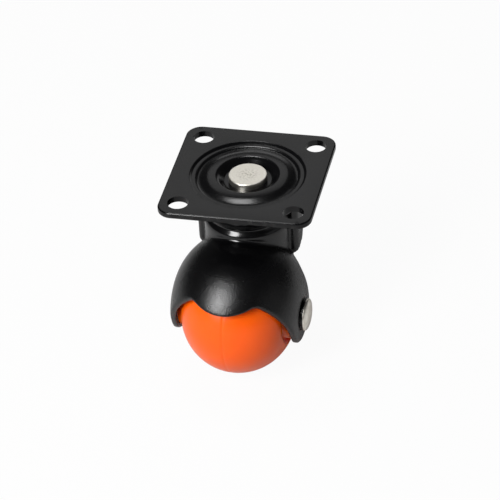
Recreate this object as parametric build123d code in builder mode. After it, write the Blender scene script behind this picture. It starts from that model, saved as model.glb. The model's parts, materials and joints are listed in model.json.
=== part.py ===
"""Plate castor: a square screw-on plate, a hooded fork that swivels on two rows of balls, and a ball-shaped wheel.

Millimetres. The origin is the middle of the plate's top face, on the kingpin's axis, with +Z up.
The hood's dome stands towards -Y, and the axle lies along X when swivel_turn is 0.
"""
import os
from math import cos, pi, radians, sin, sqrt, tan

from build123d import *

# Plate
plate_side = 60.0
plate_sheet = 2.5
plate_corner = 6.0
plate_edge_round = 0.6
screw_inset = 7.5
screw_hole = 8.2

# Kingpin
kingpin_sunk = 0.05
kingpin_head_round = 0.4
button_lip = 1.8
button_height = 1.6
button_round = 0.9

# Round pressing in the plate: widths of its steps, depths below the plate's top, inside bend
well_land = 1.8
well_slope = 2.6
ring_width = 4.1
ring_slope = 3.4
bead_slope = 1.2
bead_width = 1.4
rim_slope = 2.2
rim_land = 1.0
well_depth = 2.5
ring_depth = 0.25
gutter_depth = 1.3
bead_depth = 0.75
rim_depth = 0.85
plate_bend = 0.4

# Ball rows
upper_ball = 5.0
upper_count = 18
upper_spacing = 0.236
upper_inset = 1.0
lower_ball = 4.0
lower_count = 13
lower_spacing = 0.205
lower_land = 1.7
ball_play = 0.1
race_round = 2.6

# Hood sheet and its head, a drum round the kingpin with the middle race pressed into its top
hood_sheet = 2.3
hood_bend = 0.25
race_depth = 2.1
race_lip = 0.8
race_slope = 2.3
race_half = 1.1
lip_slope = 1.4
lip_width = 3.3
swivel_turn = -3.0

# Hood neck, down from the drum to the crown of the dome, and rear wall
neck_forward = 2.0
neck_inset = 2.2
waist_land = 3.8
waist_fall = 4.5
waist_round = 0.8
neck_flare = 1.8
neck_fall = 2.3
crown_fall = 1.75
crease_round = 0.8
rear_inset = 0.2
rear_reach = 5.0

# Hood dome, ears and trimmed edges
dome_arc = 26.0
drum_foot = 9.0
ear_seat_sunk = 0.4
ear_seat_land = 1.4
ear_rim = 3.7
front_lean = 65.5
tongue_radius = 18.0
tongue_rise = 29.0
notch_round = 5.0
rear_slope = 33.5
rear_drop = 15.0
rear_knee_round = 7.0

# Wheel and axle
trail = 20.3
wheel_diameter = 52.5
wheel_gap = 1.95
wheel_crown = 1.8
parting_width = 0.4
parting_depth = 0.12
hub_stand = 2.5
hub_wall = 5.6
hub_recess_wall = 0.9
hub_recess_depth = 1.4
axle_radius = 3.0
axle_head_lip = 3.4
axle_head_height = 2.8
axle_head_crown = 0.5
axle_head_round = 0.6
axle_tail_lip = 2.0
sleeve_wall = 1.3

# Lower race
cup_sheet = 1.6
cup_bend = 2.1
cup_flat = 1.9
cup_rim_run = 1.2
cup_rim_rise = 1.6

# Clearances, and how far the cuts reach past the pieces
running_gap = 0.05
side_play = 0.6
trim_reach = 160.0

# Radii about the kingpin, from the two rows of balls inwards and outwards
upper_pitch = upper_count * (upper_ball + upper_spacing) / (2 * pi)
lower_pitch = lower_count * (lower_ball + lower_spacing) / (2 * pi)
kingpin_radius = lower_pitch - lower_ball / 2 - lower_land
kingpin_button = kingpin_radius + button_lip
ring_outer = upper_pitch + upper_inset
ring_inner = ring_outer - ring_width
well_radius = ring_inner - well_slope
kingpin_head = well_radius - well_land
gutter_radius = ring_outer + ring_slope
bead_inner = gutter_radius + bead_slope
bead_outer = bead_inner + bead_width
rim_radius = bead_outer + rim_slope
pressing_radius = rim_radius + rim_land
cup_edge = lower_pitch + cup_flat
cup_rim = cup_edge + cup_rim_run
drum_radius = upper_pitch + race_half + lip_slope + lip_width
waist_radius = cup_rim + waist_land
neck_radius = waist_radius + neck_flare
rear_radius = drum_radius - rear_inset
neck_top = drum_radius - neck_inset
fold_round = hood_sheet + hood_bend
screw_pitch = plate_side - 2 * screw_inset

# Heights down the kingpin
upper_race = -(ring_depth + plate_sheet)
upper_ball_height = upper_race - ball_play - upper_ball / 2
groove_height = upper_ball_height - upper_ball / 2 - ball_play
head_top = groove_height + race_depth
lip_top = groove_height + race_lip
drum_top = lip_top - fold_round - hood_bend
waist_height = drum_top - waist_fall
neck_height = waist_height - neck_fall
crown_height = neck_height - crown_fall
lower_ball_height = head_top - hood_sheet - ball_play - lower_ball / 2
cup_height = lower_ball_height - lower_ball / 2 - ball_play
button_top = cup_height - cup_sheet

# The dome clears the wheel, and its crown sets how far below the plate the axle lies
dome_offset = wheel_diameter / 2 + wheel_gap + hood_sheet - dome_arc
axle_drop = dome_arc + dome_offset - crown_height
hood_foot = drum_foot - axle_drop

# Stations along the axle and radii about it
seat_face = dome_arc - ear_seat_sunk
ear_inside = seat_face - hood_sheet
collar_face = ear_inside - side_play
wheel_side = collar_face - hub_stand
wheel_arc = wheel_side + wheel_crown
wheel_offset = wheel_diameter / 2 - wheel_arc
axle_head = axle_radius + axle_head_lip
axle_tail = axle_radius + axle_tail_lip
ear_seat = axle_head + ear_seat_land
ear_radius = ear_seat + ear_rim
sleeve_radius = axle_radius + running_gap + sleeve_wall
wheel_bore = sleeve_radius + running_gap
hub_collar = wheel_bore + hub_wall

# Directions and views of the swivelling pieces
axle_way = Vector(1, 0, 0).rotate(Axis.Z, swivel_turn)
fore = Vector(0, -1, 0).rotate(Axis.Z, swivel_turn)
upward = Vector(0, 0, 1)
axle_point = fore * trail - upward * axle_drop
axle_axis = Axis(axle_point, axle_way)
axle_front = Plane(origin=axle_point, x_dir=axle_way, z_dir=fore)
axle_side = Plane(origin=axle_point, x_dir=-fore, z_dir=axle_way)
neck_point = fore * neck_forward
neck_axis = Axis(neck_point, upward)
neck_side = Plane(origin=neck_point, x_dir=-fore, z_dir=axle_way)
tongue_way = fore * cos(radians(tongue_rise)) + upward * sin(radians(tongue_rise))
tongue_view = Plane(origin=axle_point, x_dir=axle_way, z_dir=tongue_way)

os.makedirs("parts", exist_ok=True)


def keep(piece, name):
    """Name a finished piece and write it out."""
    piece.part.label = name
    export_step(piece.part, f"parts/{name}.step")


def parallel(points, distance):
    """The line through points moved sideways by distance, to the right of its own direction."""
    ways = [(end - start).normalized() for start, end in zip(points, points[1:])]
    normals = [Vector(way.Y, -way.X) for way in ways]
    moved = [points[0] + normals[0] * distance]
    for corner, before, after in zip(points[1:], normals, normals[1:]):
        moved.append(corner + (before + after) * (distance / (1 + before.dot(after))))
    moved.append(points[-1] + normals[-1] * distance)
    return moved


def sheet_section(points, sheet, bends):
    """Section of a bent sheet: points run along its upper face, bends are the inside radii at its folds."""
    upper = [Vector(*point) for point in points]
    lower = parallel(upper, sheet)
    upper_radii = [0]
    lower_radii = [0]
    for before, fold, after, bend in zip(upper, upper[1:], upper[2:], bends):
        rises = (fold - before).cross(after - fold).Z > 0
        upper_radii.append(bend if rises else bend + sheet)
        lower_radii.append(bend + sheet if rises else bend)
    with BuildSketch(Plane.XZ) as section:
        with BuildLine():
            FilletPolyline(upper + lower[::-1], radius=upper_radii + [0, 0] + lower_radii[::-1], close=True)
        make_face()
    return section.sketch


# Top plate: a flat blank, with the pressing as a bent strip of the same sheet turned about the kingpin
with BuildPart() as top_plate:
    with BuildSketch(Plane.XY.offset(-plate_sheet)):
        RectangleRounded(plate_side, plate_side, plate_corner)
        Circle(pressing_radius, mode=Mode.SUBTRACT)
    extrude(amount=plate_sheet)
    fillet(top_plate.edges().filter_by(Plane.XY).filter_by(lambda e: e.center().length > pressing_radius),
           plate_edge_round)
    pressing = sheet_section(
        [
            (kingpin_radius + running_gap, -well_depth),
            (well_radius, -well_depth),
            (ring_inner, -ring_depth),
            (ring_outer, -ring_depth),
            (gutter_radius, -gutter_depth),
            (bead_inner, -bead_depth),
            (bead_outer, -rim_depth),
            (rim_radius, 0),
            (pressing_radius, 0),
        ],
        plate_sheet,
        [plate_bend, plate_bend, race_round, plate_bend, plate_bend, plate_bend, plate_bend],
    )
    revolve(pressing, axis=Axis.Z)
    with BuildSketch(Plane.XY):
        with GridLocations(screw_pitch, screw_pitch, 2, 2):
            Circle(screw_hole / 2)
    extrude(amount=trim_reach, both=True, mode=Mode.SUBTRACT)
keep(top_plate, "top_plate")

# Kingpin: flat head in the plate's well, plain shank, riveted button under the lower race
with BuildPart() as kingpin:
    with BuildSketch(Plane.XZ):
        with BuildLine():
            Polyline(
                (0, -kingpin_sunk),
                (kingpin_head, -kingpin_sunk),
                (kingpin_head, -well_depth),
                (kingpin_radius, -well_depth),
                (kingpin_radius, button_top),
                (kingpin_button, button_top),
                (kingpin_button, button_top - button_height),
                (0, button_top - button_height),
                close=True,
            )
        make_face()
    revolve(axis=Axis.Z)
    rims = kingpin.edges().filter_by(GeomType.CIRCLE).sort_by(Axis.Z)
    fillet(rims[-1], kingpin_head_round)
    fillet(rims[0], button_round)
keep(kingpin, "kingpin")

# Lower race: a dished washer held by the kingpin's button
with BuildPart() as lower_race:
    dish = sheet_section(
        [
            (kingpin_radius + running_gap, cup_height),
            (cup_edge, cup_height),
            (cup_rim, cup_height + cup_rim_rise),
        ],
        cup_sheet,
        [cup_bend],
    )
    revolve(dish, axis=Axis.Z)
keep(lower_race, "lower_race")


def ball_row(name, diameter, count, pitch, height):
    """A full row of loose balls round the kingpin, each its own piece."""
    for number, place in enumerate(PolarLocations(pitch, count), start=1):
        with BuildPart(Plane(place).offset(height)) as ball:
            Sphere(diameter / 2)
        keep(ball, f"{name}_{number:02d}")


ball_row("upper_ball", upper_ball, upper_count, upper_pitch, upper_ball_height)
ball_row("lower_ball", lower_ball, lower_count, lower_pitch, lower_ball_height)


def hood_form(inset):
    """The hood before trimming, shrunk by inset: a dome about the axle, a waisted neck above it, a rear wall."""
    arc = dome_arc - inset
    end = sqrt(arc**2 - dome_offset**2)
    flank = [
        (neck_top, drum_top),
        (waist_radius, waist_height),
        (neck_radius, neck_height),
        (neck_radius, hood_foot),
    ]
    flank = parallel([Vector(*point) for point in flank], inset)
    with BuildPart() as form:
        with BuildSketch(axle_front):
            with BuildLine():
                ThreePointArc((-end, 0), (0, dome_offset + arc), (end, 0))
                Line((end, 0), (-end, 0))
            make_face()
        revolve(axis=axle_axis)
        with BuildSketch(neck_side):
            with BuildLine():
                FilletPolyline(
                    [Vector(0, hood_foot), Vector(0, flank[0].Y)] + flank,
                    radius=[0, 0, 0, waist_round + inset, fold_round - inset, 0],
                    close=True,
                )
            make_face()
        revolve(axis=neck_axis)
        crease = form.edges().filter_by(GeomType.BSPLINE).sort_by(SortBy.LENGTH)[-1]
        fillet(crease, crease_round + inset)
        with BuildSketch(Plane(origin=upward * drum_top, x_dir=fore, z_dir=-upward)) as wall:
            Circle(rear_radius - inset)
            with Locations((rear_reach - inset, 0)):
                Rectangle(trim_reach, trim_reach, align=(Align.MIN, Align.CENTER), mode=Mode.SUBTRACT)
            fillet(wall.vertices(), fold_round - inset)
        extrude(amount=drum_top - hood_foot)
    return form.part


# Trimming cut, seen along the axle: behind the sloping rear edge, below the round ears and ahead of the leaning
# front edge, apart from the round tongue that hangs over the wheel
lean_cos, lean_sin = cos(radians(front_lean)), sin(radians(front_lean))
ear_front = Vector(-lean_sin, -lean_cos) * ear_radius
ear_back = Vector(ear_radius, 0)
ear_low = Vector(0, -ear_radius)
front_far = ear_front + Vector(-lean_cos, lean_sin) * trim_reach
rear_top = Vector(trail + drum_radius, axle_drop - rear_drop)
rear_rise = tan(radians(rear_slope))
rear_knee = Vector(ear_radius, rear_top.Y - (rear_top.X - ear_radius) * rear_rise)
rear_far = rear_top + Vector(1, rear_rise) * trim_reach
with BuildPart() as trim:
    with BuildSketch(axle_side):
        with BuildLine():
            Line(front_far, ear_front)
            ThreePointArc(ear_front, ear_low, ear_back)
            FilletPolyline(ear_back, rear_knee, rear_far, radius=rear_knee_round)
            Polyline(rear_far, (rear_far.X, -trim_reach), (front_far.X, -trim_reach), front_far)
        make_face()
    extrude(amount=trim_reach, both=True)
    with BuildSketch(tongue_view):
        with Locations((0, tongue_radius)):
            Circle(tongue_radius)
    extrude(amount=trim_reach, mode=Mode.SUBTRACT)
    notches = trim.edges().filter_by(GeomType.ELLIPSE).sort_by_distance(axle_point)
    fillet(notches[0], notch_round)

# Hood: one pressed sheet
with BuildPart() as hood:
    add(hood_form(0))
    add(hood_form(hood_sheet), mode=Mode.SUBTRACT)
    add(trim.part, mode=Mode.SUBTRACT)
    head = sheet_section(
        [
            (kingpin_radius + running_gap, head_top),
            (upper_pitch - race_half - race_slope, head_top),
            (upper_pitch - race_half, groove_height),
            (upper_pitch + race_half, groove_height),
            (upper_pitch + race_half + lip_slope, lip_top),
            (drum_radius, lip_top),
            (drum_radius, drum_top),
        ],
        hood_sheet,
        [hood_bend, race_round, race_round, hood_bend, hood_bend],
    )
    revolve(head, axis=Axis.Z)
    for side in (1, -1):
        seat = Plane(origin=axle_point + axle_way * side * ear_inside, x_dir=-fore, z_dir=axle_way * side)
        with BuildSketch(seat):
            Circle(ear_seat)
        extrude(amount=hood_sheet)
        with BuildSketch(seat.offset(hood_sheet)):
            Circle(ear_seat)
        extrude(amount=hood_sheet, mode=Mode.SUBTRACT)
    with BuildSketch(axle_side):
        Circle(axle_radius + running_gap)
    extrude(amount=trim_reach, both=True, mode=Mode.SUBTRACT)
keep(hood, "hood")

# Axle rivet: slightly domed factory head on the right ear, low formed end flush in the left ear's seat
head_face = seat_face + axle_head_height
with BuildPart() as axle_rivet:
    with BuildSketch(axle_front):
        with BuildLine():
            TangentArc((head_face, 0), (head_face - axle_head_crown, axle_head), tangent=(0, 1))
            Polyline(
                (head_face - axle_head_crown, axle_head),
                (seat_face, axle_head),
                (seat_face, axle_radius),
                (-seat_face, axle_radius),
                (-seat_face, axle_tail),
                (-dome_arc, axle_tail),
                (-dome_arc, 0),
                (head_face, 0),
            )
        make_face()
    revolve(axis=axle_axis)
    fillet(axle_rivet.edges().filter_by(axle_side).sort_by(axle_axis)[-1], axle_head_round)
keep(axle_rivet, "axle_rivet")

# Axle sleeve: a tube that the rivet clamps between the ears
with BuildPart() as axle_sleeve:
    with BuildSketch(axle_side):
        Circle(sleeve_radius)
        Circle(axle_radius + running_gap, mode=Mode.SUBTRACT)
    extrude(amount=ear_inside, both=True)
keep(axle_sleeve, "axle_sleeve")


def wheel_height(station):
    """Radius of the wheel's round tread at a station along the axle."""
    return wheel_offset + sqrt(wheel_arc**2 - station**2)


# Wheel: one moulding, a barrel about the axle with a fine parting line round its middle, and a sunk ring and a hub
# collar on each side
wheel_shoulder = wheel_height(wheel_side)
parting_edge = parting_width / 2
recess_radius = wheel_shoulder - hub_recess_wall
recess_face = wheel_side - hub_recess_depth
half_wheel = [
    (wheel_side, wheel_shoulder),
    (wheel_side, recess_radius),
    (recess_face, recess_radius),
    (recess_face, hub_collar),
    (collar_face, hub_collar),
    (collar_face, wheel_bore),
]
with BuildPart() as wheel:
    with BuildSketch(axle_front):
        with BuildLine():
            for side in (1, -1):
                ThreePointArc(
                    *[(side * station, wheel_height(station)) for station in (parting_edge, wheel_side / 2, wheel_side)]
                )
            Polyline(
                (parting_edge, wheel_height(parting_edge)),
                (0, wheel_height(0) - parting_depth),
                (-parting_edge, wheel_height(parting_edge)),
            )
            Polyline(half_wheel + [(-station, radius) for station, radius in half_wheel[::-1]])
        make_face()
    revolve(axis=axle_axis)
keep(wheel, "wheel")
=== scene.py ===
"""Looks of the plate castor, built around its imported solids.

The plate, hood, axle rivet and wheel are shown as skins that follow their solids and add the crowns, rounded
rims and filled lines of the real pieces. Each row of balls is set out by a node tree. The kingpin, lower race
and axle sleeve are shown as their solids. Lengths are metres unless a name says mm.
"""

import json
import logging
import math
from dataclasses import dataclass
from enum import Enum
from typing import Any

import bmesh
import bpy
from mathutils import Matrix, Vector

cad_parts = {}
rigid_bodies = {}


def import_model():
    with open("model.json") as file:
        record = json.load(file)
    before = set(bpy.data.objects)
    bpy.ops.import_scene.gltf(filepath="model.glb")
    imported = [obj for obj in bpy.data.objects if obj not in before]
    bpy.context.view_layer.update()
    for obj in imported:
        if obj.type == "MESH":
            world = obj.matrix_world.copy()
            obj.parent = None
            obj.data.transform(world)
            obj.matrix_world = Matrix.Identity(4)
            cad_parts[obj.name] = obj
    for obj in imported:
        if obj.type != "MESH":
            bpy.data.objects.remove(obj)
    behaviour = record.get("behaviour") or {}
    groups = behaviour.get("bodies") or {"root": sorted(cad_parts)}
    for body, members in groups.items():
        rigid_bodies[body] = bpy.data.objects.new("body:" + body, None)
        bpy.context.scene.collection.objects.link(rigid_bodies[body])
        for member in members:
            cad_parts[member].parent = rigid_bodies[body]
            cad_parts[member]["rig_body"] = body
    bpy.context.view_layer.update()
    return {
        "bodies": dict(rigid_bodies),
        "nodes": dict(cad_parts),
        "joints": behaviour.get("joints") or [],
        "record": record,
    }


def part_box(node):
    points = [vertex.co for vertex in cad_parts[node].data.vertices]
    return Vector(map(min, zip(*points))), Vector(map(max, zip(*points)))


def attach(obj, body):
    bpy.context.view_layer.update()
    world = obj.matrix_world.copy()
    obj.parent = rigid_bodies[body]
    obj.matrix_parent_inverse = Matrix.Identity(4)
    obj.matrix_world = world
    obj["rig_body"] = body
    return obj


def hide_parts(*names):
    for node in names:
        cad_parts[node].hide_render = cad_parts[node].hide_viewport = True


LOG = logging.getLogger("castor")
MM = 0.001
SHARP_ANGLE = math.radians(32)
# Corners closer than this become one.
WELD = 0.002 * MM
# How many finer layers a cloudy pattern has, unless its finish says otherwise. A finish's field that ends in
# _part is the stretch of such a pattern over which its mark goes from none to full.
NOISE_DETAIL = 3.0

Frame = dict[str, Any]
Span = tuple[float, float]
Marks = tuple[tuple[float, float], ...]


class Slot(Enum):
    """The record's material slots."""

    PLATE = "plate_paint"
    HOOD = "hood_paint"
    STEEL = "bare_steel"
    BALL = "ball_steel"
    WHEEL = "wheel_plastic"


class Row(Enum):
    """The two rows of balls, by the body that each one is."""

    UPPER = "upper_balls"
    LOWER = "lower_balls"


def linear(code: str) -> tuple[float, float, float, float]:
    """Turn an sRGB hex colour into a linear one.

    Args:
        code: The colour as six hex digits after a hash sign.

    Returns:
        Linear red, green, blue and full alpha.
    """
    parts = [int(code[at : at + 2], 16) / 255 for at in (1, 3, 5)]
    low_end, slope, offset, power = 0.04045, 12.92, 0.055, 2.4
    curve = [c / slope if c <= low_end else ((c + offset) / (1 + offset)) ** power for c in parts]
    return (*curve, 1.0)


def per_metre(size_mm: float) -> float:
    """Return the texture scale at which one feature is this many millimetres wide."""
    return 1 / (size_mm * MM)


def add_node(
    tree: bpy.types.NodeTree,
    kind: str,
    settings: dict[str, Any] | None = None,
    inputs: dict[str, Any] | None = None,
) -> bpy.types.Node:
    """Add a node to a tree, with its settings, values and links.

    Args:
        tree: The node tree.
        kind: The node's type name.
        settings: Attributes of the node, by name.
        inputs: Values for its input sockets, by name or identifier. A socket given as a value is linked, and
            a node given as a value is linked by its first live output.

    Returns:
        The new node.
    """
    node = tree.nodes.new(kind)
    for name, value in (settings or {}).items():
        setattr(node, name, value)
    sockets = {socket.name: socket for socket in node.inputs}
    sockets.update({socket.identifier: socket for socket in node.inputs})
    for key, value in (inputs or {}).items():
        if isinstance(value, bpy.types.Node):
            value = next(socket for socket in value.outputs if socket.enabled)
        if isinstance(value, bpy.types.NodeSocket):
            tree.links.new(value, sockets[key])
        else:
            sockets[key].default_value = value
    return node


def new_material(name: str) -> tuple[bpy.types.Material, bpy.types.NodeTree, bpy.types.NodeSocket]:
    """Make an empty node material.

    Args:
        name: The material's name.

    Returns:
        The material, its tree and the Object coordinates socket that its patterns read.
    """
    material = bpy.data.materials.new(name)
    material.use_nodes = True
    tree = material.node_tree
    tree.nodes.clear()
    place = add_node(tree, "ShaderNodeTexCoord").outputs["Object"]
    return material, tree, place


@dataclass(frozen=True)
class StoveEnamel:
    """Black stove enamel on the plate: satin and grainy, with lighter edges of rub wear and painted
    highlight.
    """

    name: str = "satin_stove_enamel"
    colour: str = "#060607"
    # A lighter colour for patches along the edges: partly rub wear, partly a painted highlight on the rounded
    # edge.
    rubbed_and_highlit: str = "#1C1C1C"
    roughness: Span = (0.16, 0.22)
    edge_roughness: float = 0.13
    specular: float = 0.28
    # The grain of sprayed enamel is finer than a pixel, so it is drawn about a pixel wide to show.
    grain_mm: float = 0.5
    grain_depth_mm: float = 0.02
    cloud_mm: float = 9.0
    rub_and_highlight_mm: float = 3.0
    rub_and_highlight_part: Span = (0.45, 0.65)
    edge_half: float = 30 * MM
    edge_band: float = 0.5 * MM

    def material(self) -> bpy.types.Material:
        """Build the enamel's nodes.

        Returns:
            The material.
        """
        material, tree, place = new_material(self.name)
        clouds, rub_and_highlight_spots, grain = (
            add_node(tree, "ShaderNodeTexNoise", inputs={
                "Vector": place, "Scale": per_metre(size_mm), "Detail": NOISE_DETAIL})
            for size_mm in (self.cloud_mm, self.rub_and_highlight_mm, self.grain_mm))
        split = add_node(tree, "ShaderNodeSeparateXYZ", inputs={"Vector": place})
        across, along = (
            add_node(tree, "ShaderNodeMath", {"operation": "ABSOLUTE"}, {"Value": split.outputs[axis]})
            for axis in "XY")
        reach = add_node(tree, "ShaderNodeMath", {"operation": "MAXIMUM"}, {
            "Value": across, "Value_001": along})
        edge = add_node(tree, "ShaderNodeMapRange", inputs={
            "Value": reach, "From Min": self.edge_half - self.edge_band, "From Max": self.edge_half})
        patch = add_node(tree, "ShaderNodeMapRange", inputs={
            "Value": rub_and_highlight_spots, "From Min": self.rub_and_highlight_part[0], "From Max": self.rub_and_highlight_part[1]})
        # The lighter edge patches stand partly for rub wear and partly for a painted highlight.
        wear_and_highlight = add_node(tree, "ShaderNodeMath", {"operation": "MULTIPLY"}, {
            "Value": edge, "Value_001": patch})
        colour = add_node(tree, "ShaderNodeMix", {"data_type": "RGBA"}, {
            "Factor_Float": wear_and_highlight, "A_Color": linear(self.colour), "B_Color": linear(self.rubbed_and_highlit)})
        sheen = add_node(tree, "ShaderNodeMapRange", inputs={
            "Value": clouds, "To Min": self.roughness[0], "To Max": self.roughness[1]})
        roughness = add_node(tree, "ShaderNodeMix", {"data_type": "FLOAT"}, {
            "Factor_Float": edge, "A_Float": sheen, "B_Float": self.edge_roughness})
        relief = add_node(tree, "ShaderNodeBump", inputs={
            "Height": grain, "Distance": self.grain_depth_mm * MM, "Strength": 1.0})
        shader = add_node(tree, "ShaderNodeBsdfPrincipled", inputs={
            "Base Color": colour, "Roughness": roughness, "Normal": relief,
            "Specular IOR Level": self.specular})
        add_node(tree, "ShaderNodeOutputMaterial", inputs={"Surface": shader})
        return material


@dataclass(frozen=True)
class PowderCoat:
    """Black powder coat on the hood: grainy and half gloss on the dome, run smooth and wet at the neck."""

    name: str = "black_powder_coat"
    colour: str = "#050506"
    roughness: Span = (0.25, 0.3)
    pool_roughness: float = 0.17
    pool_levels: Span = (-24 * MM, -19 * MM)
    specular: float = 0.45
    # The coat's grain is finer than a pixel, so it is drawn about a pixel wide, and deep enough to show.
    grain_mm: float = 0.4
    grain_depth_mm: float = 0.1
    grain_detail: float = 1.0
    cloud_mm: float = 12.0

    def material(self) -> bpy.types.Material:
        """Build the coat's nodes.

        Returns:
            The material.
        """
        material, tree, place = new_material(self.name)
        clouds, grain = (
            add_node(tree, "ShaderNodeTexNoise", inputs={
                "Vector": place, "Scale": per_metre(size_mm), "Detail": detail})
            for size_mm, detail in ((self.cloud_mm, NOISE_DETAIL), (self.grain_mm, self.grain_detail)))
        split = add_node(tree, "ShaderNodeSeparateXYZ", inputs={"Vector": place})
        # The dome's share is 1 below the pool's levels and 0 above them, where the coat has run smooth.
        dome = add_node(tree, "ShaderNodeMapRange", inputs={
            "Value": split.outputs["Z"], "From Min": self.pool_levels[0], "From Max": self.pool_levels[1],
            "To Min": 1.0, "To Max": 0.0})
        sheen = add_node(tree, "ShaderNodeMapRange", inputs={
            "Value": clouds, "To Min": self.roughness[0], "To Max": self.roughness[1]})
        roughness = add_node(tree, "ShaderNodeMix", {"data_type": "FLOAT"}, {
            "Factor_Float": dome, "A_Float": self.pool_roughness, "B_Float": sheen})
        relief = add_node(tree, "ShaderNodeBump", inputs={
            "Height": grain, "Distance": self.grain_depth_mm * MM, "Strength": dome})
        shader = add_node(tree, "ShaderNodeBsdfPrincipled", inputs={
            "Base Color": linear(self.colour), "Roughness": roughness, "Normal": relief,
            "Specular IOR Level": self.specular})
        add_node(tree, "ShaderNodeOutputMaterial", inputs={"Surface": shader})
        return material


@dataclass(frozen=True)
class NickelPlate:
    """Barrelled nickel plate on a cold-headed rivet: bright, with soft blotches and dents from tumbling."""

    name: str = "tumbled_nickel_plate"
    colour: str = "#EFEBE2"
    dull: str = "#E2DDD2"
    roughness: Span = (0.32, 0.42)
    blotch_mm: float = 1.8
    blotch_part: Span = (0.35, 0.65)
    dent_mm: float = 1.1
    dent_depth_mm: float = 0.015

    def material(self) -> bpy.types.Material:
        """Build the plating's nodes.

        Returns:
            The material.
        """
        material, tree, place = new_material(self.name)
        blotches, dents = (
            add_node(tree, "ShaderNodeTexNoise", inputs={
                "Vector": place, "Scale": per_metre(size_mm), "Detail": NOISE_DETAIL})
            for size_mm in (self.blotch_mm, self.dent_mm))
        haze = add_node(tree, "ShaderNodeMapRange", inputs={
            "Value": blotches, "From Min": self.blotch_part[0], "From Max": self.blotch_part[1]})
        colour = add_node(tree, "ShaderNodeMix", {"data_type": "RGBA"}, {
            "Factor_Float": haze, "A_Color": linear(self.colour), "B_Color": linear(self.dull)})
        roughness = add_node(tree, "ShaderNodeMapRange", inputs={
            "Value": haze, "To Min": self.roughness[0], "To Max": self.roughness[1]})
        relief = add_node(tree, "ShaderNodeBump", inputs={
            "Height": dents, "Distance": self.dent_depth_mm * MM, "Strength": 1.0})
        shader = add_node(tree, "ShaderNodeBsdfPrincipled", inputs={
            "Base Color": colour, "Metallic": 1.0, "Roughness": roughness, "Normal": relief})
        add_node(tree, "ShaderNodeOutputMaterial", inputs={"Surface": shader})
        return material


@dataclass(frozen=True)
class SpunNickel:
    """Nickel plate on the kingpin's head: rings left by the spinning riveting tool, and a stained middle."""

    name: str = "spun_nickel_plate"
    colour: str = "#EEEAE0"
    stain: str = "#A9A294"
    roughness: Span = (0.28, 0.42)
    ring_mm: float = 1.3
    ring_depth_mm: float = 0.02
    ring_wander: float = 2.0
    wander_detail: float = 2.0
    wander_scale: float = 1.5
    stain_mm: float = 0.9
    stain_detail: float = 4.0
    stain_part: Span = (0.45, 0.7)
    stain_reach: Span = (1 * MM, 5 * MM)
    stain_share: Span = (1.0, 0.1)
    # Fine scratches are narrower than a pixel, so they are drawn as wide as they need to show.
    scratch_mm: float = 0.6
    scratch_share: float = 0.5
    # Blender's wave pattern runs through 20 radians for each unit of its scaled coordinate.
    rings_per_unit: float = 20 / math.tau

    def material(self) -> bpy.types.Material:
        """Build the plating's nodes.

        Returns:
            The material.
        """
        material, tree, place = new_material(self.name)
        rings = add_node(tree, "ShaderNodeTexWave", {"wave_type": "RINGS", "rings_direction": "Z"}, {
            "Vector": place, "Scale": per_metre(self.ring_mm) / self.rings_per_unit,
            "Distortion": self.ring_wander, "Detail": self.wander_detail,
            "Detail Scale": self.wander_scale}).outputs["Fac"]
        stains, scratches = (
            add_node(tree, "ShaderNodeTexNoise", inputs={
                "Vector": place, "Scale": per_metre(size_mm), "Detail": detail})
            for size_mm, detail in ((self.stain_mm, self.stain_detail), (self.scratch_mm, NOISE_DETAIL)))
        flat = add_node(tree, "ShaderNodeVectorMath", {"operation": "MULTIPLY"}, {
            "Vector": place, "Vector_001": (1.0, 1.0, 0.0)})
        reach = add_node(tree, "ShaderNodeVectorMath", {"operation": "LENGTH"}, {"Vector": flat})
        middle = add_node(tree, "ShaderNodeMapRange", inputs={
            "Value": reach, "From Min": self.stain_reach[0], "From Max": self.stain_reach[1],
            "To Min": self.stain_share[0], "To Max": self.stain_share[1]})
        spots = add_node(tree, "ShaderNodeMapRange", inputs={
            "Value": stains, "From Min": self.stain_part[0], "From Max": self.stain_part[1]})
        stained = add_node(tree, "ShaderNodeMath", {"operation": "MULTIPLY"}, {
            "Value": middle, "Value_001": spots})
        colour = add_node(tree, "ShaderNodeMix", {"data_type": "RGBA"}, {
            "Factor_Float": stained, "A_Color": linear(self.colour), "B_Color": linear(self.stain)})
        roughness = add_node(tree, "ShaderNodeMapRange", inputs={
            "Value": rings, "To Min": self.roughness[0], "To Max": self.roughness[1]})
        grooves = add_node(tree, "ShaderNodeBump", inputs={
            "Height": rings, "Distance": self.ring_depth_mm * MM, "Strength": 1.0})
        relief = add_node(tree, "ShaderNodeBump", inputs={
            "Height": scratches, "Distance": self.ring_depth_mm * MM, "Strength": self.scratch_share,
            "Normal": grooves})
        shader = add_node(tree, "ShaderNodeBsdfPrincipled", inputs={
            "Base Color": colour, "Metallic": 1.0, "Roughness": roughness, "Normal": relief})
        add_node(tree, "ShaderNodeOutputMaterial", inputs={"Surface": shader})
        return material


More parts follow.
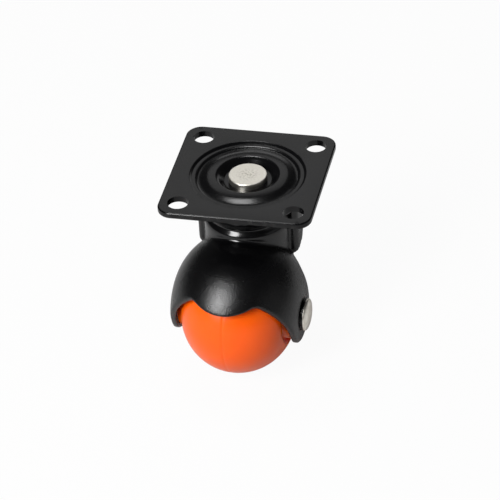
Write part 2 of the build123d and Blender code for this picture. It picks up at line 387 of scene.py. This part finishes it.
@dataclass(frozen=True)
class LappedSteel:
    """Lapped bearing steel under a film of grease: mirror-like, with a faint brown haze."""

    name: str = "lapped_bearing_steel"
    colour: str = "#C9CACC"
    grease: str = "#9A8F7C"
    roughness: Span = (0.08, 0.2)
    film_mm: float = 2.5
    film_part: Span = (0.4, 0.7)

    def material(self) -> bpy.types.Material:
        """Build the steel's nodes.

        Returns:
            The material.
        """
        material, tree, place = new_material(self.name)
        patches = add_node(tree, "ShaderNodeTexNoise", inputs={
            "Vector": place, "Scale": per_metre(self.film_mm), "Detail": NOISE_DETAIL})
        film = add_node(tree, "ShaderNodeMapRange", inputs={
            "Value": patches, "From Min": self.film_part[0], "From Max": self.film_part[1]})
        colour = add_node(tree, "ShaderNodeMix", {"data_type": "RGBA"}, {
            "Factor_Float": film, "A_Color": linear(self.colour), "B_Color": linear(self.grease)})
        roughness = add_node(tree, "ShaderNodeMapRange", inputs={
            "Value": film, "To Min": self.roughness[0], "To Max": self.roughness[1]})
        shader = add_node(tree, "ShaderNodeBsdfPrincipled", inputs={
            "Base Color": colour, "Metallic": 1.0, "Roughness": roughness})
        add_node(tree, "ShaderNodeOutputMaterial", inputs={"Surface": shader})
        return material


@dataclass(frozen=True)
class MouldedNylon:
    """Injection-moulded nylon, dyed orange: glossy and a little translucent, with faint flow marks."""

    name: str = "moulded_nylon"
    colour: str = "#EE5A01"
    flow: str = "#E85601"
    roughness: Span = (0.28, 0.34)
    specular: float = 0.35
    flow_mm: float = 14.0
    skin_mm: float = 1.5
    skin_depth_mm: float = 0.01
    glow: float = 0.45
    glow_reach: float = 10 * MM
    glow_tint: tuple[float, float, float] = (1.0, 0.5, 0.15)

    def material(self) -> bpy.types.Material:
        """Build the nylon's nodes.

        Returns:
            The material.
        """
        material, tree, place = new_material(self.name)
        flow, skin = (
            add_node(tree, "ShaderNodeTexNoise", inputs={
                "Vector": place, "Scale": per_metre(size_mm), "Detail": NOISE_DETAIL})
            for size_mm in (self.flow_mm, self.skin_mm))
        colour = add_node(tree, "ShaderNodeMix", {"data_type": "RGBA"}, {
            "Factor_Float": flow, "A_Color": linear(self.colour), "B_Color": linear(self.flow)})
        roughness = add_node(tree, "ShaderNodeMapRange", inputs={
            "Value": flow, "To Min": self.roughness[0], "To Max": self.roughness[1]})
        relief = add_node(tree, "ShaderNodeBump", inputs={
            "Height": skin, "Distance": self.skin_depth_mm * MM, "Strength": 1.0})
        shader = add_node(tree, "ShaderNodeBsdfPrincipled", inputs={
            "Base Color": colour, "Roughness": roughness, "Normal": relief,
            "Specular IOR Level": self.specular, "Subsurface Weight": self.glow,
            "Subsurface Radius": self.glow_tint, "Subsurface Scale": self.glow_reach})
        add_node(tree, "ShaderNodeOutputMaterial", inputs={"Surface": shader})
        return material


def link_mesh(name: str, mesh: bpy.types.Mesh) -> bpy.types.Object:
    """Put a mesh into the scene as a new object at the origin.

    Args:
        name: The object's name.
        mesh: Its mesh.

    Returns:
        The object.
    """
    piece = bpy.data.objects.new(name, mesh)
    bpy.context.scene.collection.objects.link(piece)
    return piece


def bake_modifiers(piece: bpy.types.Object) -> None:
    """Turn a piece and its modifiers into a plain mesh.

    Args:
        piece: The piece, which keeps its name and loses its modifiers.
    """
    bpy.context.view_layer.update()
    evaluated = piece.evaluated_get(bpy.context.evaluated_depsgraph_get())
    mesh = bpy.data.meshes.new_from_object(evaluated)
    piece.modifiers.clear()
    piece.data = mesh


def copy_solid(name: str, solid: bpy.types.Object) -> bpy.types.Object:
    """Copy a solid's mesh into a new piece, with its loose triangles joined.

    Args:
        name: The new piece's name.
        solid: The solid's object, which stays as it is.

    Returns:
        The new piece.
    """
    mesh = solid.data.copy()
    shape = bmesh.new()
    shape.from_mesh(mesh)
    bmesh.ops.remove_doubles(shape, verts=shape.verts, dist=WELD)
    shape.to_mesh(mesh)
    shape.free()
    return link_mesh(name, mesh)


def shade(mesh: bpy.types.Mesh) -> None:
    """Shade a mesh smooth, apart from its sharp edges."""
    mesh.shade_smooth()
    mesh.set_sharp_from_angle(angle=SHARP_ANGLE)


def cover(piece: bpy.types.Object, material: bpy.types.Material) -> None:
    """Give a whole piece one material."""
    piece.data.materials.clear()
    piece.data.materials.append(material)


def between(marks: Marks, at: float) -> float:
    """Read a value off a line through marks.

    Args:
        marks: Places and their values, in rising order of place.
        at: The place to read.

    Returns:
        The value there, or 0 outside the marks.
    """
    for (start, first), (end, last) in zip(marks, marks[1:]):
        if start <= at <= end:
            return first + (last - first) * (at - start) / (end - start)
    return 0.0


def wheel_axle(frame: Frame) -> tuple[Vector, Vector]:
    """Find the line that the wheel turns on.

    Args:
        frame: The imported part.

    Returns:
        The middle of the axle, and its direction towards the rivet's head.
    """
    joint = next(joint for joint in frame["joints"] if joint["name"] == "wheel_spin")
    return Vector(joint["pos_m"]), Vector(joint["axis"]).normalized()


@dataclass
class TopPlate:
    """The pressed plate, with the kingpin and the lower race that it carries.

    The crown's marks give the lift of the plate's upper face at radii about the kingpin, and the step's marks
    give its shift outwards.
    """

    frame: Frame
    paint: bpy.types.Material
    plating: bpy.types.Material
    sheet: float = 2.5 * MM
    crown_mm: Marks = (
        (11.1, 0.0), (12.6, 0.2), (13.0, 0.19), (15.2, -0.11),
        (16.2, -0.2), (18.0, -0.18), (19.3, -0.09), (19.6, 0.0),
    )
    step_mm: Marks = ((21.3, 0.0), (22.1, -0.2), (23.7, -1.25), (24.7, -1.8), (25.1, 0.0))

    def build(self) -> bpy.types.Object:
        """Make the plate's skin from its solid, with the ring's top crowned and the step round it drawn in.

        Returns:
            The new piece.
        """
        piece = copy_solid("plate_skin", self.frame["nodes"]["top_plate"])
        for vertex in piece.data.vertices:
            radius_mm = vertex.co.xy.length / MM
            if vertex.co.z > self.underside(radius_mm):
                drawn_mm = radius_mm + between(self.step_mm, radius_mm)
                vertex.co.z += between(self.crown_mm, radius_mm) * MM
                vertex.co.xy *= drawn_mm / radius_mm
        shade(piece.data)
        return piece

    def underside(self, radius_mm: float) -> float:
        """Return the level that parts the plate's upper face from its lower one at this radius."""
        return -self.sheet if radius_mm < self.crown_mm[-1][0] else -self.sheet / 2

    def dress(self, piece: bpy.types.Object) -> None:
        """Paint the skin and plate the bare pieces.

        Args:
            piece: The plate's skin.
        """
        nodes = self.frame["nodes"]
        cover(piece, self.paint)
        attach(piece, nodes["top_plate"]["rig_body"])
        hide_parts("top_plate")
        for name in ("kingpin", "lower_race"):
            cover(nodes[name], self.plating)


@dataclass
class Hood:
    """The pressed hood, with the rims rounded by its thick coat, and the sleeve between its ears."""

    frame: Frame
    paint: bpy.types.Material
    plating: bpy.types.Material
    grain: float = 0.42 * MM
    soften_steps: int = 6
    soften_share: float = 0.5
    rim_steps: int = 12
    rim_levels: Span = (-34 * MM, -29 * MM)
    rim_group: str = "rim"

    def build(self) -> bpy.types.Object:
        """Make the hood's skin from its solid, with the rims rounded as paint rounds them.

        Returns:
            The new piece.
        """
        piece = copy_solid("hood_skin", self.frame["nodes"]["hood"])
        remesh = piece.modifiers.new("even_grain", "REMESH")
        remesh.mode = "VOXEL"
        remesh.voxel_size = self.grain
        remesh.use_smooth_shade = True
        self.soften(piece, self.soften_steps)
        bake_modifiers(piece)
        self.mark_rim(piece)
        self.soften(piece, self.rim_steps).vertex_group = self.rim_group
        bake_modifiers(piece)
        piece.vertex_groups.clear()
        return piece

    def soften(self, piece: bpy.types.Object, steps: int) -> bpy.types.SmoothModifier:
        """Add a smoothing of this many steps to the skin.

        Args:
            piece: The skin.
            steps: How often each corner moves towards its neighbours.

        Returns:
            The modifier.
        """
        modifier = piece.modifiers.new("paint_round", "SMOOTH")
        modifier.iterations = steps
        modifier.factor = self.soften_share
        return modifier

    def mark_rim(self, piece: bpy.types.Object) -> None:
        """Mark the skin below the neck, where the rims are rounder than the pressed creases.

        Args:
            piece: The skin.
        """
        group = piece.vertex_groups.new(name=self.rim_group)
        low, high = self.rim_levels
        for vertex in piece.data.vertices:
            share = (high - vertex.co.z) / (high - low)
            group.add([vertex.index], min(max(share, 0.0), 1.0), "REPLACE")

    def dress(self, piece: bpy.types.Object) -> None:
        """Paint the skin and plate the sleeve.

        Args:
            piece: The hood's skin.
        """
        cover(piece, self.paint)
        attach(piece, "swivel")
        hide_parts("hood")
        cover(self.frame["nodes"]["axle_sleeve"], self.plating)


@dataclass
class AxleRivet:
    """The axle rivet, with the low dome of its upset head, and the flank of that head beside the ear drawn
    black.
    """

    frame: Frame
    plating: bpy.types.Material
    paint: bpy.types.Material
    shank: float = 3.0 * MM
    tail: float = 5.0 * MM
    head: float = 6.4 * MM
    seat: float = 25.6 * MM
    flank: float = 1.2 * MM
    dome_power: float = 2.3
    dome_rings: int = 14
    turns: int = 72

    def profile(self) -> list[tuple[float, float]]:
        """Draw half the rivet's section, from the tail to the middle of the head.

        Returns:
            Stations along the axle from its middle, each with a radius.
        """
        hub, axis = wheel_axle(self.frame)
        solid = self.frame["nodes"]["axle_rivet"]
        along = [(vertex.co - hub).dot(axis) for vertex in solid.data.vertices]
        end, top = min(along), max(along)
        shoulder = self.seat + self.flank
        outline = [
            (end, 0.0), (end, self.tail), (-self.seat, self.tail), (-self.seat, self.shank),
            (self.seat, self.shank), (self.seat, self.head), (shoulder, self.head),
        ]
        bend = 2 / self.dome_power
        for ring in range(1, self.dome_rings + 1):
            turn = math.pi / 2 * ring / self.dome_rings
            rise = (top - shoulder) * math.sin(turn) ** bend
            outline.append((shoulder + rise, self.head * math.cos(turn) ** bend))
        return outline

    def build(self) -> bpy.types.Object:
        """Turn the section round the axle.

        Returns:
            The new piece, with its flank's faces marked for the second material.
        """
        hub, axis = wheel_axle(self.frame)
        out = axis.cross(Vector((0, 0, 1))).normalized()
        shape = bmesh.new()
        section = [shape.verts.new(hub + axis * station + out * radius) for station, radius in self.profile()]
        line = [shape.edges.new(pair) for pair in zip(section, section[1:])]
        bmesh.ops.spin(shape, geom=section + line, cent=hub, axis=axis, angle=math.tau, steps=self.turns)
        bmesh.ops.remove_doubles(shape, verts=shape.verts, dist=WELD)
        bmesh.ops.recalc_face_normals(shape, faces=shape.faces)
        for face in shape.faces:
            station = (face.calc_center_median() - hub).dot(axis)
            # Faces on the head's flank next to the ear take the second material, the black coat.
            face.material_index = int(self.seat < station < self.seat + self.flank)
        mesh = bpy.data.meshes.new("axle_skin")
        shape.to_mesh(mesh)
        shape.free()
        shade(mesh)
        return link_mesh("axle_skin", mesh)

    def dress(self, piece: bpy.types.Object) -> None:
        """Plate the rivet and darken its head's flank.

        Args:
            piece: The rivet's skin.
        """
        for material in (self.plating, self.paint):
            piece.data.materials.append(material)
        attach(piece, "swivel")
        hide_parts("axle_rivet")


@dataclass
class Wheel:
    """The ball-shaped wheel, with its parting line almost polished away."""

    frame: Frame
    plastic: bpy.types.Material
    line_half: float = 0.02 * MM
    line_depth: float = 0.1 * MM
    # Corners nearer to the axle than this share of the tread's radius belong to the bore.
    bore_share: float = 0.5

    def build(self) -> bpy.types.Object:
        """Make the wheel's skin from its solid, with the parting line filled to a faint mark.

        Returns:
            The new piece.
        """
        piece = copy_solid("wheel_skin", self.frame["nodes"]["wheel"])
        hub, axis = wheel_axle(self.frame)
        low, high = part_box("wheel")
        tread = (high.z - low.z) / 2
        for vertex in piece.data.vertices:
            arm = vertex.co - hub
            along = arm.dot(axis)
            out = arm - axis * along
            if abs(along) < self.line_half and out.length > tread * self.bore_share:
                vertex.co = hub + axis * along + out.normalized() * (tread - self.line_depth)
        shade(piece.data)
        return piece

    def dress(self, piece: bpy.types.Object) -> None:
        """Give the skin its plastic.

        Args:
            piece: The wheel's skin.
        """
        cover(piece, self.plastic)
        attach(piece, "wheel")
        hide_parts("wheel")


@dataclass
class BallRow:
    """One row of loose balls round the kingpin, set out by a node tree."""

    frame: Frame
    body: str
    steel: bpy.types.Material
    segments: int = 32
    rings: int = 16

    def solids(self) -> list[str]:
        """Return the names of the row's solids, in order."""
        nodes = self.frame["nodes"]
        return sorted(name for name, node in nodes.items() if node["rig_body"] == self.body)

    def sizes(self) -> dict[str, float]:
        """Measure the row on its first solid.

        Returns:
            The node tree's inputs, by name.
        """
        names = self.solids()
        low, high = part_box(names[0])
        centre = (low + high) / 2
        return {
            "count": len(names),
            "pitch": centre.xy.length,
            "height": centre.z,
            "radius": (high.z - low.z) / 2,
            "turn": math.atan2(centre.y, centre.x),
        }

    def tree(self) -> bpy.types.GeometryNodeTree:
        """Build the tree that sets equal balls on a circle.

        Returns:
            The tree, with inputs named as the sizes are.
        """
        tree = bpy.data.node_groups.new(f"{self.body}_ring", "GeometryNodeTree")
        for name, value in self.sizes().items():
            kind = "NodeSocketInt" if isinstance(value, int) else "NodeSocketFloat"
            tree.interface.new_socket(name, in_out="INPUT", socket_type=kind)
        tree.interface.new_socket("Geometry", in_out="OUTPUT", socket_type="NodeSocketGeometry")
        given = add_node(tree, "NodeGroupInput").outputs
        circle = add_node(tree, "GeometryNodeMeshCircle", {"fill_type": "NONE"}, {
            "Vertices": given["count"], "Radius": given["pitch"]})
        lift = add_node(tree, "ShaderNodeCombineXYZ", inputs={"Z": given["height"]})
        turn = add_node(tree, "ShaderNodeCombineXYZ", inputs={"Z": given["turn"]})
        ring = add_node(tree, "GeometryNodeTransform", inputs={
            "Geometry": circle, "Translation": lift, "Rotation": turn})
        ball = add_node(tree, "GeometryNodeMeshUVSphere", inputs={
            "Segments": self.segments, "Rings": self.rings, "Radius": given["radius"]})
        row = add_node(tree, "GeometryNodeInstanceOnPoints", inputs={"Points": ring, "Instance": ball})
        solid = add_node(tree, "GeometryNodeRealizeInstances", inputs={"Geometry": row})
        smooth = add_node(tree, "GeometryNodeSetShadeSmooth", inputs={"Geometry": solid})
        finished = add_node(tree, "GeometryNodeSetMaterial", inputs={
            "Geometry": smooth, "Material": self.steel})
        add_node(tree, "NodeGroupOutput", inputs={"Geometry": finished})
        return tree

    def build(self) -> bpy.types.Object:
        """Set the row out where its solids lie.

        Returns:
            The row as one piece, with its steel.
        """
        piece = link_mesh(self.body, bpy.data.meshes.new(self.body))
        modifier = piece.modifiers.new("row", "NODES")
        modifier.node_group = self.tree()
        sizes = self.sizes()
        for socket in modifier.node_group.interface.items_tree:
            if socket.in_out == "INPUT":
                modifier[socket.identifier] = sizes[socket.name]
        bake_modifiers(piece)
        return piece

    def dress(self, piece: bpy.types.Object) -> None:
        """Put the row, which the tree has given its steel, in the place of its solids.

        Args:
            piece: The row.
        """
        names = self.solids()
        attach(piece, self.body)
        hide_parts(*names)


def direction(azimuth: float, elevation: float) -> Vector:
    """Return the way to a place, by its azimuth from the front to the right and its elevation, in degrees."""
    turn, rise = math.radians(azimuth), math.radians(elevation)
    return Vector((math.sin(turn) * math.cos(rise), -math.cos(turn) * math.cos(rise), math.sin(rise)))


@dataclass(frozen=True)
class Lamp:
    """A soft rectangular lamp that the camera doesn't see, set by its direction from its target."""

    name: str
    azimuth: float
    elevation: float
    width: float
    height: float
    radiance: float
    distance: float = 0.9
    target: tuple[float, float, float] = (0.0, -20 * MM, -30 * MM)

    def build(self) -> None:
        """Put the lamp into the scene, facing its target."""
        way = direction(self.azimuth, self.elevation)
        light = bpy.data.lights.new(self.name, "AREA")
        light.shape = "RECTANGLE"
        light.size = self.width
        light.size_y = self.height
        light.energy = self.radiance * math.pi * self.width * self.height
        lamp = bpy.data.objects.new(self.name, light)
        lamp.location = Vector(self.target) + way * self.distance
        lamp.rotation_euler = way.to_track_quat("Z", "Y").to_euler()
        lamp.visible_camera = False
        bpy.context.scene.collection.objects.link(lamp)


@dataclass
class Studio:
    """Pale floor, white wall, soft lamps and the camera that took the photograph.

    The floor's glow is the share of it that the camera sees as plain white, and the rest takes the castor's
    shadow. Its sheen is that share in reflections.
    """

    azimuth: float = 14.11
    elevation: float = 36.37
    roll: float = -3.34
    distance: float = 1080.8 * MM
    # Where the castor's origin stands: to the right of the view's middle, and above it.
    slide: tuple[float, float] = (-0.90 * MM, 29.37 * MM)
    focal_px: float = 2796.8
    frame_px: float = 500.0
    floor_half: float = 3.0
    floor_colour: str = "#CCCCCC"
    floor_glow: float = 0.95
    floor_sheen: float = 0.05
    room_colour: str = "#3E3E3E"
    wall_colour: str = "#FEFEFE"
    lamps: tuple[Lamp, ...] = (
        Lamp("key", azimuth=-27.0, elevation=36.0, width=0.28, height=0.62, radiance=22.0),
        Lamp("overhead", azimuth=-152.0, elevation=68.0, width=0.22, height=0.22, radiance=14.0),
        Lamp("backdrop", azimuth=-166.0, elevation=37.0, width=0.38, height=0.32, radiance=0.85),
        Lamp("fill", azimuth=80.0, elevation=16.0, width=0.8, height=0.4, radiance=0.25),
        Lamp("rear", azimuth=178.0, elevation=11.0, width=0.8, height=0.24, radiance=0.7),
    )

    def build(self) -> None:
        """Put the floor, room, lamps and camera into the scene."""
        self.build_floor()
        self.build_room()
        for lamp in self.lamps:
            lamp.build()
        self.build_camera()
        bpy.context.scene.view_settings.view_transform = "Standard"

    def build_floor(self) -> None:
        """Lay the pale floor under the wheel."""
        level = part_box("wheel")[0].z
        half = self.floor_half
        corners = [(-half, -half, level), (half, -half, level), (half, half, level), (-half, half, level)]
        mesh = bpy.data.meshes.new("floor")
        mesh.from_pydata(corners, [], [range(len(corners))])
        floor = link_mesh("floor", mesh)
        material, tree, _ = new_material("pale_floor")
        path = add_node(tree, "ShaderNodeLightPath").outputs
        sheen = add_node(tree, "ShaderNodeMath", {"operation": "MULTIPLY"}, {
            "Value": path["Is Glossy Ray"], "Value_001": self.floor_sheen})
        share = add_node(tree, "ShaderNodeMath", {"operation": "MULTIPLY_ADD"}, {
            "Value": path["Is Camera Ray"], "Value_001": self.floor_glow, "Value_002": sheen})
        matt = add_node(tree, "ShaderNodeBsdfDiffuse", inputs={"Color": linear(self.floor_colour)})
        glow = add_node(tree, "ShaderNodeEmission")
        mixed = add_node(tree, "ShaderNodeMixShader", inputs={
            "Fac": share, "Shader": matt, "Shader_001": glow})
        add_node(tree, "ShaderNodeOutputMaterial", inputs={"Surface": mixed})
        cover(floor, material)

    def build_room(self) -> None:
        """Fill the room with an even grey light, and show the camera a white wall."""
        world = bpy.data.worlds.new("studio_room")
        world.use_nodes = True
        tree = world.node_tree
        tree.nodes.clear()
        seen = add_node(tree, "ShaderNodeLightPath").outputs["Is Camera Ray"]
        room, wall = (
            add_node(tree, "ShaderNodeBackground", inputs={"Color": linear(colour)})
            for colour in (self.room_colour, self.wall_colour))
        mixed = add_node(tree, "ShaderNodeMixShader", inputs={
            "Fac": seen, "Shader": room, "Shader_001": wall})
        add_node(tree, "ShaderNodeOutputWorld", inputs={"Surface": mixed})
        bpy.context.scene.world = world

    def build_camera(self) -> None:
        """Stand the camera where the photograph was taken from."""
        back = direction(self.azimuth, self.elevation)
        tilt = math.radians(self.roll)
        level = Vector((0, 0, 1)).cross(back).normalized()
        upright = back.cross(level)
        right = level * math.cos(tilt) + upright * math.sin(tilt)
        up = upright * math.cos(tilt) - level * math.sin(tilt)
        place = back * self.distance - right * self.slide[0] - up * self.slide[1]
        lens = bpy.data.cameras.new("camera")
        lens.lens = self.focal_px / self.frame_px * lens.sensor_width
        camera = bpy.data.objects.new("camera", lens)
        camera.matrix_world = Matrix.Translation(place) @ Matrix((right, up, back)).transposed().to_4x4()
        bpy.context.scene.collection.objects.link(camera)
        bpy.context.scene.camera = camera


def clear_scene() -> None:
    """Empty the file that Blender starts with."""
    for item in list(bpy.data.objects):
        bpy.data.objects.remove(item)


def main() -> None:
    """Build the castor's looks around its solids."""
    logging.basicConfig(level=logging.INFO, format="%(name)s: %(message)s")
    clear_scene()
    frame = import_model()
    Studio().build()
    coat, plating, steel = PowderCoat().material(), NickelPlate().material(), LappedSteel().material()
    assemblies = (
        TopPlate(frame, StoveEnamel().material(), SpunNickel().material()),
        Hood(frame, coat, plating),
        AxleRivet(frame, plating, coat),
        Wheel(frame, MouldedNylon().material()),
        *(BallRow(frame, row.value, steel) for row in Row),
    )
    for assembly in assemblies:
        piece = assembly.build()
        assembly.dress(piece)
        LOG.info("%s has %d faces", piece.name, len(piece.data.polygons))


if __name__ == "__main__":
    main()
